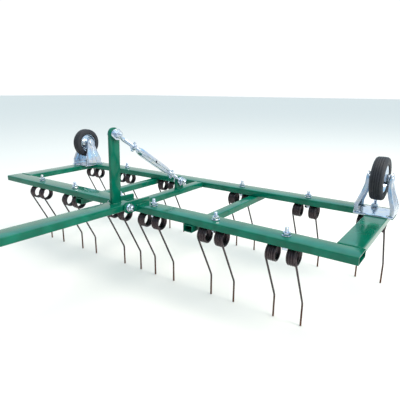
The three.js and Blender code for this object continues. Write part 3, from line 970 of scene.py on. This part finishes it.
@dataclass
class Castors(Assembly):
    """Two fixed castors, stood wheel-up on the rear corners."""

    x: float = 630.0
    y: float = 146.0
    axle_z: float = 99.0
    sheet: float = 3.0
    plate_x: float = 52.2
    plate_y: float = 50.0
    flange: float = 10.0
    slot_x: float = 40.0
    slot_y: float = 34.0
    # height, outer face and half depth of a leg, from the plate up
    leg: tuple[tuple[float, float, float], ...] = (
        (9.0, 52.2, 38.0), (24.0, 51.6, 37.0), (42.0, 45.6, 32.5), (58.0, 40.0, 28.6), (72.0, 36.3, 25.0),
        (86.0, 33.4, 20.5), (99.0, 33.0, 19.0), (109.0, 33.0, 16.0), (115.0, 33.0, 10.5), (117.7, 33.0, 4.0),
    )

    def leg_sheet(self, side: int) -> bmesh.types.BMesh:
        """One leg as a bent and tapered sheet, with both edges folded in.

        Args:
            side: -1 or 1.

        Returns:
            The leg about the castor's own middle.
        """
        piece = bmesh.new()
        rows = [(4.0, self.plate_x, 39.0), *self.leg]
        for number, (height, face, depth) in enumerate(rows):
            fold = self.flange * min(1.0, (len(rows) - number - 1) / 4)
            spots = [(face - fold, -depth - 0.05), (face, -depth), (face, -0.34 * depth)]
            spots += [(x, -y) for x, y in reversed(spots)]
            if number == 0:
                verts = [piece.verts.new((side * x, y, height)) for x, y in spots]
                edges = [piece.edges.new(pair) for pair in zip(verts, verts[1:])]
                continue
            grown = bmesh.ops.extrude_edge_only(piece, edges=edges)["geom"]
            verts = sorted((g for g in grown if isinstance(g, bmesh.types.BMVert)), key=lambda v: v.co.y)
            edges = [g for g in grown if isinstance(g, bmesh.types.BMEdge)]
            edges = [e for e in edges if e.verts[0] in verts and e.verts[1] in verts]
            for vert, (x, y) in zip(verts, spots):
                vert.co = (side * x, y, height)
        bmesh.ops.recalc_face_normals(piece, faces=piece.faces)
        outward = sum((f.normal.x for f in piece.faces)) * side
        if outward < 0:
            bmesh.ops.reverse_faces(piece, faces=piece.faces)
        bmesh.ops.solidify(piece, geom=piece.faces[:], thickness=self.sheet)
        bmesh.ops.recalc_face_normals(piece, faces=piece.faces)
        ease_edges(piece, 0.7, 2, 60)
        return piece

    def trims(self, side: int) -> list[bmesh.types.BMesh]:
        """The rolled edges and the pressed ribs of one leg.

        Args:
            side: -1 or 1.

        Returns:
            The shapes about the castor's own middle.
        """
        made = []
        for sign in (-1, 1):
            path = [(side * (x - 0.8), sign * (depth - 1.6), z) for z, x, depth in self.leg[:8]]
            made.append(swept(path, 2.0, swell=[0.7] + [1.0] * 6 + [0.6]))
        for y in (-11.0, 11.0):
            path = [(side * (x - 1.2), y * (1 - 0.5 * z / 99), z) for z, x, _ in self.leg[:6]]
            made.append(swept(path, 3.0, swell=[0.3, 0.9, 1.0, 1.0, 0.9, 0.3]))
        return made

    def bracket(self, side: int) -> list[bmesh.types.BMesh]:
        """The slotted plate with its two legs.

        Args:
            side: which corner of the machine, -1 or 1.

        Returns:
            The shapes about the castor's own middle.
        """
        x, y = self.plate_x, self.plate_y
        outline = [(-x, -y, 9), (x, -y, 9), (x, y, 9), (-x, y, 9)]
        base = moved(plate(outline, self.sheet, 0.6), shift(0, 0, GAP + self.sheet / 2))
        rims = []
        for sx in (-1, 1):
            for sy in (-1, 1):
                at_x, at_y = sx * self.slot_x, sy * self.slot_y
                spot = shift(at_x, at_y, 0) @ turn("Z", math.degrees(math.atan2(at_y, at_x)))
                outline = [(-6, -4.5, 4.4), (6, -4.5, 4.4), (6, 4.5, 4.4), (-6, 4.5, 4.4)]
                base = carve(base, moved(plate(outline, 12, 0.01, 6), spot))
                edge = []
                for i in range(16):
                    angle = 2 * math.pi * (i + 0.5) / 16
                    half = 1.5 if math.cos(angle) > 0 else -1.5
                    edge.append((half + 5.2 * math.cos(angle), 5.2 * math.sin(angle), 0))
                rims.append(moved(swept(edge, 0.7, closed=True), spot, shift(0, 0, GAP + self.sheet)))
        bends = []
        for sign in (-1, 1):
            start, end = (sign * (x - 2.2), -38.0, 3.4), (sign * (x - 2.2), 38.0, 3.4)
            bends.append(swept([start, end], 2.4))
        legs = [self.leg_sheet(sign) for sign in (-1, 1)]
        trims = self.trims(-1) + self.trims(1)
        return [base, *rims, *bends, *legs, *trims]

    def tyre(self) -> bmesh.types.BMesh:
        """The tyre, with rounded shoulders and fine circumferential grooves.

        Returns:
            The mesh about the axle.
        """
        shoulder: list[Flat] = [
            (40.0, -13.0), (41.5, -16.0), (46.0, -17.9), (53.0, -18.0), (58.0, -16.2), (60.4, -12.6),
        ]
        tread: list[Flat] = []
        for groove in (-9.0, -3.0, 3.0, 9.0):
            bulge = 61.4 - 0.006 * groove * groove
            floor = bulge - 1.3
            tread += [
                (bulge, groove - 1.2), (floor, groove - 0.5), (floor, groove + 0.5), (bulge, groove + 1.2),
            ]
        far = [(r, -h) for r, h in reversed(shoulder)]
        return turned(shoulder + tread + far, 64, "X")

    def rim(self) -> list[bmesh.types.BMesh]:
        """The pressed rim: a hub, a dished web with a raised ring, and lips that hold the tyre.

        Returns:
            The shapes about the axle.
        """
        half = [
            (6.5, -26.0), (7.2, -26.5), (14.0, -26.5), (15.0, -25.5), (15.0, -9.5), (17.0, -8.0),
            (20.0, -5.2), (25.0, -4.0), (27.0, -5.8), (29.5, -6.6), (32.0, -5.8), (34.0, -8.0),
            (37.0, -12.5), (38.4, -13.6), (39.4, -12.4),
        ]
        return [turned(half + [(r, -h) for r, h in reversed(half)], 56, "X")]

    def axle(self) -> list[bmesh.types.BMesh]:
        """The riveted axle with a domed head outside each leg.

        Returns:
            The shapes about the axle.
        """
        inner = 33.3
        dome = [(0, 4.0), (4.5, 3.7), (8.0, 2.7), (10.2, 1.2), (11.0, 0.0)]
        profile = [(r, -inner - h) for r, h in dome] + [(6.0, -inner), (6.0, inner)]
        profile += [(r, inner + h) for r, h in reversed(dome)]
        spacers = [ring(6.4, 10.5, sign * 28.2 - 1.4, sign * 28.2 + 1.4, 0.3, "X") for sign in (-1, 1)]
        return [turned(profile, 32, "X"), *spacers]

    def make(self) -> None:
        """Builds both castors."""
        for word, side in (("left", -1), ("right", 1)):
            at = shift(side * self.x, self.y, 0)
            hub = at @ shift(0, 0, self.axle_z)
            wheel = f"castor_wheel_{word}"
            parts = [moved(s, at) for s in self.bracket(side)]
            self.place(f"castor_bracket_{word}_pressing", parts, ZINC, "frame", [f"castor_bracket_{word}"])
            axle = [moved(s, hub) for s in self.axle()]
            self.place(f"castor_axle_{word}_rivet", axle, ZINC, "frame", [f"castor_axle_{word}"])
            rim = [moved(s, hub) for s in self.rim()]
            self.place(f"castor_rim_{word}_pressing", rim, ZINC, wheel, [f"castor_rim_{word}"])
            tyre = [moved(self.tyre(), hub)]
            self.place(f"castor_tyre_{word}_rubber", tyre, RUBBER, wheel, [f"castor_tyre_{word}"])


# ------------------------------------------------------------------ hinge, drawbar, mast


@dataclass
class Hinge(Assembly):
    """The two ears on the front rail, the hinge screw, and the lug for the turnbuckle."""

    ear_x: float = 33.3
    ear: float = 6.0
    lug: float = 10.0

    def make(self) -> None:
        """Builds the ears, the lug and their screws."""
        _, hy, hz = Frames.HINGE
        nose = 17.9
        outline = [
            (-160.0, GAP, 0), (-160.0, 15.0, 4), (hy - 18, hz + 18, nose), (hy - 18, hz - 18, nose),
            (-219.0 - GAP, hz - 18, 2), (-219.0 - GAP, GAP, 0),
        ]
        for word, side in (("left", -1), ("right", 1)):
            ear = moved(plate(outline, self.ear, 0.8, 12), UPRIGHT, shift(side * self.ear_x))
            outer = side * (self.ear_x + 3.4)
            inner = side * (self.ear_x - 3.4)
            beads = [
                weld((outer, -163, 0.6), (outer, -217, 0.6), 2.4),
                weld((inner, -163, 0.6), (inner, -217, 0.6), 2.0),
                weld((outer, -220, -2), (outer, -220, -15), 2.0),
            ]
            self.place(f"hinge_ear_{word}_plate", [ear, *beads], ENAMEL, "frame", [f"hinge_ear_{word}"])
        reach = self.ear_x + self.ear / 2
        screw = [moved(s, shift(0, hy, hz)) for s in M12.stack("X", -reach, reach)]
        self.place("hinge_bolt_steel", screw, ZINC, "frame", ["hinge_bolt"])
        self.make_lug()

    def make_lug(self) -> None:
        """Builds the lug and the screw through it."""
        x, y, z = Frames.LOWER_EYE
        outline = [(y - 20, GAP, 0), (y + 20, GAP, 0), (y + 17.5, z + 17, 16.9), (y - 17.5, z + 17, 16.9)]
        lug = moved(plate(outline, self.lug, 0.8, 12), UPRIGHT)
        side = self.lug / 2 + 0.4
        beads = [weld((s, y - 19, 0.8), (s, y + 19, 0.8), 2.4) for s in (-side, side)]
        beads += [weld((-4, e, 0.8), (4, e, 0.8), 2.2) for e in (y - 20.5, y + 20.5)]
        self.place("turnbuckle_lug_plate", [lug, *beads], ENAMEL, "frame", ["turnbuckle_lug"])
        screw = [moved(s, shift(0, y, z)) for s in M12.stack("X", -self.lug / 2, x + 4.5)]
        self.place("turnbuckle_lower_bolt_steel", screw, ZINC, "frame", ["turnbuckle_lower_bolt"])


@dataclass
class Drawbar(Assembly):
    """The drawbar with its mast, and the hitch plates, screws, drop pin and clip at its end."""

    rear: float = 22.0
    front: float = -651.0
    mast_depth: float = 35.0
    mast_top: float = 230.5
    tube_width: float = 60.0
    tube_height: float = 20.0
    plate_thickness: float = 5.0
    plate_front: float = -743.0
    plate_rear: float = -490.0
    bolts: tuple[float, float] = (-629.0, -519.0)
    pin_y: float = -709.0
    pin_radius: float = 7.0
    pin_reach: float = 72.0
    head_radius: float = 12.0
    head: float = 10.0
    clip_wire: float = 2.0
    clip_reach: float = 40.0
    clip_bearing: float = 195.0

    def make(self) -> None:
        """Builds everything that tilts with the drawbar."""
        into = self.frames.drawbar
        section = box_tube(self.rear - self.front, self.tube_width, self.tube_height, 2, 3)
        tube = moved(section, shift(0, (self.rear + self.front) / 2, 0))
        self.place("drawbar_tube_section", [tube], ENAMEL, "drawbar", ["drawbar_tube"], into)
        self.make_mast(into)
        for word, side in (("top", 1), ("bottom", -1)):
            z = side * (self.tube_height / 2 + GAP + self.plate_thickness / 2)
            x = self.tube_width / 2
            outline = [
                (-x, self.plate_front, 6), (x, self.plate_front, 6),
                (x, self.plate_rear, 6), (-x, self.plate_rear, 6),
            ]
            flat = moved(plate(outline, self.plate_thickness, 0.8, 6), shift(0, 0, z))
            name = f"hitch_{word}_plate"
            self.place(f"{name}_steel", [flat], ENAMEL, "drawbar", [name], into)
        outer = self.tube_height / 2 + GAP + self.plate_thickness
        for word, y, twist in (("front", self.bolts[0], 8), ("rear", self.bolts[1], 31)):
            stack = M12.stack("Z", -outer, outer, twist=twist)
            screw = [moved(s, turn("X", 180), shift(0, y, 0)) for s in stack]
            node = f"hitch_bolt_{word}"
            self.place(f"{node}_steel", screw, ZINC, "drawbar", [node], into)
        top = into @ shift(0, self.pin_y, outer) @ turn("Z", self.clip_bearing - 90)
        self.place("hitch_pin_steel", self.pin(), ZINC, "hitch_pin", ["hitch_pin"], top)
        self.place("hitch_clip_wire", [self.clip()], ZINC, "hitch_clip", ["hitch_clip"], top)

    def make_mast(self, into: Matrix) -> None:
        """Builds the mast, its weld and its screw.

        Args:
            into: from the drawbar's frame to metres.
        """
        _, y, z = Frames.MAST_BOLT
        half = self.mast_depth / 2
        outline = [
            (y - half, 10 + GAP, 0), (y + half, 10 + GAP, 0), (y + half, self.mast_top, half - 0.1),
            (y - half, self.mast_top, half - 0.1),
        ]
        flat = moved(plate(outline, 10, 0.9, 14), UPRIGHT)
        beads = [weld((s, y - half + 1, 10.6), (s, y + half - 1, 10.6), 2.8) for s in (-5.6, 5.6)]
        beads += [weld((-5, e, 10.6), (5, e, 10.6), 2.6) for e in (y - half - 0.6, y + half + 0.6)]
        self.place("mast_flat_bar", [flat, *beads], ENAMEL, "drawbar", ["mast"], into)
        screw = [moved(s, shift(0, y, z)) for s in M12.stack("X", -5, 14.5, nut_washer=16)]
        self.place("mast_bolt_steel", screw, ZINC, "drawbar", ["mast_bolt"], into)

    def pin(self) -> list[bmesh.types.BMesh]:
        """The drop pin, with a tapered foot and a broad head that sits just over z = 0.

        Returns:
            The shapes about the top plate's upper face.
        """
        foot = -self.pin_reach
        shank = [(0, foot), (4.6, foot), (6.2, foot + 1.2), (7.0, foot + 3.2), (7.0, 0.8), (0, 0.8)]
        top = GAP + self.head
        cap = [
            (0, GAP), (11.2, GAP), (12.0, GAP + 0.8), (12.0, top - 2.2),
            (11.4, top - 0.9), (10.0, top), (0, top),
        ]
        return [turned(shank, 36), turned(cap, 36)]

    def clip(self) -> bmesh.types.BMesh:
        """The wire clip: from the head out over the plates' edge, down, and back to fork the pin's foot.

        Returns:
            The mesh about the top plate's upper face.
        """
        pivot = GAP + self.head / 2
        arm = 2.7
        fork = self.pin_radius + self.clip_wire + 0.7
        foot = 6 - self.pin_reach
        reach = self.clip_reach
        head = self.head_radius
        half: list[Point] = [
            (fork, -8, foot), (fork, 4, foot), (arm + 3, 13, foot + 2), (arm, 20, foot + 8),
            (arm, 31, foot + 24), (arm, reach, -28), (arm, reach, -4), (arm, reach - 6, pivot + 2),
            (arm + 1, 24, pivot + 3), (head + 3, 13, pivot + 1), (head + 5, 4, pivot),
            (head + 3.5, 0.4, pivot), (head - 1, 0, pivot), (head - 5, 0, pivot),
        ]
        other = [(-x, y, z) for x, y, z in reversed(half)]
        return swept(half + other, self.clip_wire, smooth=True)


# ------------------------------------------------------------------ turnbuckle


@dataclass
class Turnbuckle(Assembly):
    """The adjusting screw between the mast and the lug."""

    rod: float = 6.0
    eye: float = 15.0
    eye_width: float = 9.0
    neck_end: float = 28.0
    sleeve_start: float = 85.0
    sleeve_end: float = 249.0
    inside: float = 58.0
    lower_nut: float = 62.0
    upper_nut: float = 270.0

    def eye_rod(self, hole: float, end: float) -> list[bmesh.types.BMesh]:
        """A forged eye about the origin and its threaded rod along +Y.

        Args:
            hole: the hole's radius.
            end: where the rod ends.

        Returns:
            The shapes.
        """
        half = self.eye_width / 2
        neck = [
            (0, self.eye - 4), (4.4, self.eye - 4), (4.4, self.neck_end - 4), (4.9, self.neck_end - 1),
            (5.9, self.neck_end + 1), (5.9, self.neck_end + 5), (0, self.neck_end + 5),
        ]
        return [
            ring(hole, self.eye, -half, half, 1.4, "X", 40),
            turned(neck, 24, "Y"),
            thread(self.rod, self.neck_end + 4.5, end, 2.4, "Y"),
        ]

    def sleeve(self) -> list[bmesh.types.BMesh]:
        """The barrel with its tapered ends and the hole for a tommy bar.

        Returns:
            The shapes along +Y.
        """
        start, end = self.sleeve_start, self.sleeve_end
        taper = [(6.6, 0.6), (7.2, 0.0), (8.6, 0.0), (9.0, 0.6), (9.4, 3.0), (11.4, 12.0), (12.0, 16.0)]
        profile = [(r, start + h) for r, h in taper] + [(r, end - h) for r, h in reversed(taper)]
        hole = moved(bar(4.0, -20, 20, 0.2, "X"), shift(0, (start + end) / 2, 0))
        return [carve(turned(profile, 40, "Y"), hole)]

    def lock_nut(self, y: float) -> list[bmesh.types.BMesh]:
        """A round nut with two cast wings.

        Args:
            y: its middle.

        Returns:
            The shapes along +Y.
        """
        wings = []
        for sign in (-1, 1):
            outline = [(-3.0, 7.0, 0), (3.0, 7.0, 0), (2.6, 14.8, 1.6), (-2.6, 14.8, 1.6)]
            wing = moved(plate(outline, 8, 0.8, 4), turn("X", 90), shift(0, y, 0))
            wings.append(moved(wing, turn("Y", 0 if sign > 0 else 180)))
        return [ring(6.4, 10.0, y - 5, y + 5, 0.8, "Y", 32), *wings]

    def make(self) -> None:
        """Builds the eyes, the barrel and the lock nuts along the screw."""
        into = self.frames.turnbuckle
        length = self.frames.turnbuckle_length
        lower = self.eye_rod(6.5, self.sleeve_start + self.inside)
        node = "turnbuckle_lower_eye"
        self.place(f"{node}_forging", lower, ZINC, "turnbuckle_lower", [node], into)
        upper = [
            moved(s, turn("X", 180), shift(0, length, 0))
            for s in self.eye_rod(7.7, length - self.sleeve_end + self.inside)
        ]
        node = "turnbuckle_upper_eye"
        self.place(f"{node}_forging", upper, ZINC, "turnbuckle_upper", [node], into)
        node = "turnbuckle_sleeve"
        self.place(f"{node}_barrel", self.sleeve(), ZINC, node, [node], into)
        for word, y in (("lower", self.lower_nut), ("upper", self.upper_nut)):
            node = f"turnbuckle_{word}_lock_nut"
            self.place(f"{node}_casting", self.lock_nut(y), ZINC, "lock_nuts", [node], into)


# ------------------------------------------------------------------ studio


@dataclass(frozen=True)
class Studio:
    """The camera, a pale floor and soft light.

    Attributes:
        eye: the camera's place in the machine's own frame, in mm.
        yaw: its turn to the left of +Y, in degrees.
        pitch: how far it looks down, in degrees.
        roll: its tilt, in degrees.
        lens: focal length in mm on a 36 mm sensor.
        shift: the lens shift.
    """

    eye: Point = (835.63, -1028.38, 331.34)
    yaw: float = 35.5762
    pitch: float = 15.6752
    roll: float = -0.4311
    lens: float = 35.2
    shift: Flat = (0.0095, 0.0021)

    def camera(self, frames: Frames) -> None:
        """Sets up the camera.

        Args:
            frames: where the machine stands.
        """
        data = bpy.data.cameras.new("camera")
        data.lens = self.lens
        data.shift_x, data.shift_y = self.shift
        data.clip_start = 0.02
        made = bpy.data.objects.new("camera", data)
        bpy.context.scene.collection.objects.link(made)
        facing = turn("Z", self.yaw) @ turn("X", 90 - self.pitch) @ turn("Z", -self.roll)
        made.matrix_world = Matrix.Translation(frames.machine @ Vector(self.eye)) @ facing
        bpy.context.scene.camera = made

    def soft_box(self, name: str, place: Point, target: Point, size: float, watts: float,
                 colour: str) -> None:
        """Adds an area light, in metres, that looks at a target.

        Args:
            name: the light's name.
            place: where it stands.
            target: what it looks at.
            size: its edge.
            watts: its power.
            colour: its sRGB hex colour.
        """
        data = bpy.data.lights.new(name, "AREA")
        data.size = size
        data.energy = watts
        data.color = linear(colour)[:3]
        made = bpy.data.objects.new(name, data)
        made.location = place
        made.rotation_euler = (Vector(target) - Vector(place)).to_track_quat("-Z", "Y").to_euler()
        made.visible_camera = False
        bpy.context.scene.collection.objects.link(made)

    def light(self) -> None:
        """Soft daylight-like studio light from above, and a pale surround."""
        world = bpy.data.worlds.new("surround")
        world.use_nodes = True
        tree = world.node_tree
        where = add_node(tree, "ShaderNodeTexCoord").outputs["Generated"]
        parts = add_node(tree, "ShaderNodeSeparateXYZ", {"Vector": where})
        haze = ramp(
            tree, parts.outputs["Z"],
            [(0.0, "#BFC0C1"), (0.24, "#C0C1C2"), (0.4, "#92C2DA"), (0.6, "#B4C4CB"), (1.0, "#BFBFBE")],
        )
        span = {"Value": parts.outputs["Y"], "From Min": -0.7, "From Max": 0.1}
        behind = add_node(tree, "ShaderNodeMapRange", span)
        level = ramp(tree, behind.outputs["Result"], [(0.0, "#CDD1D4"), (0.6, "#DDE1E3"), (1.0, "#FFFFFF")])
        colour = add_node(
            tree, "ShaderNodeMixRGB", {"Fac": 1.0, "Color1": haze, "Color2": level}, blend_type="MULTIPLY",
        )
        sky = tree.nodes["Background"]
        tree.links.new(colour.outputs["Color"], sky.inputs["Color"])
        sky.inputs["Strength"].default_value = 2.0
        bpy.context.scene.world = world
        self.soft_box("overhead", (0.6, 0.6, 4.0), (0, 0, 0.2), 3.0, 72, "#FFF9F1")
        self.soft_box("window", (5.0, 0.3, 3.6), (0.1, 0, 0.2), 2.4, 190, "#FFF7EC")

    def floor(self) -> None:
        """A plain pale floor."""
        piece = bmesh.new()
        bmesh.ops.create_grid(piece, x_segments=1, y_segments=1, size=40)
        mesh = bpy.data.meshes.new("floor")
        piece.to_mesh(mesh)
        piece.free()
        material = bpy.data.materials.new("pale_floor")
        material.use_nodes = True
        shader = material.node_tree.nodes["Principled BSDF"]
        shader.inputs["Base Color"].default_value = linear("#F1EDE8")
        shader.inputs["Roughness"].default_value = 0.9
        shader.inputs["Specular IOR Level"].default_value = 0.1
        mesh.materials.append(material)
        made = bpy.data.objects.new("floor", mesh)
        made.location.z = -0.0005
        bpy.context.scene.collection.objects.link(made)


def main() -> None:
    """Builds the studio and every sub-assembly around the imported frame."""
    logging.basicConfig(level=logging.INFO, format="%(message)s")
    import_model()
    frames = Frames.from_cad()
    studio = Studio()
    studio.camera(frames)
    for assembly in (TubeFrame, TineRows, Castors, Hinge, Drawbar, Turnbuckle):
        log.info("building %s", assembly.__name__)
        assembly(frames).make()
    studio.light()
    studio.floor()
    bpy.context.scene.view_settings.view_transform = "Standard"


if __name__ == "__main__":
    main()
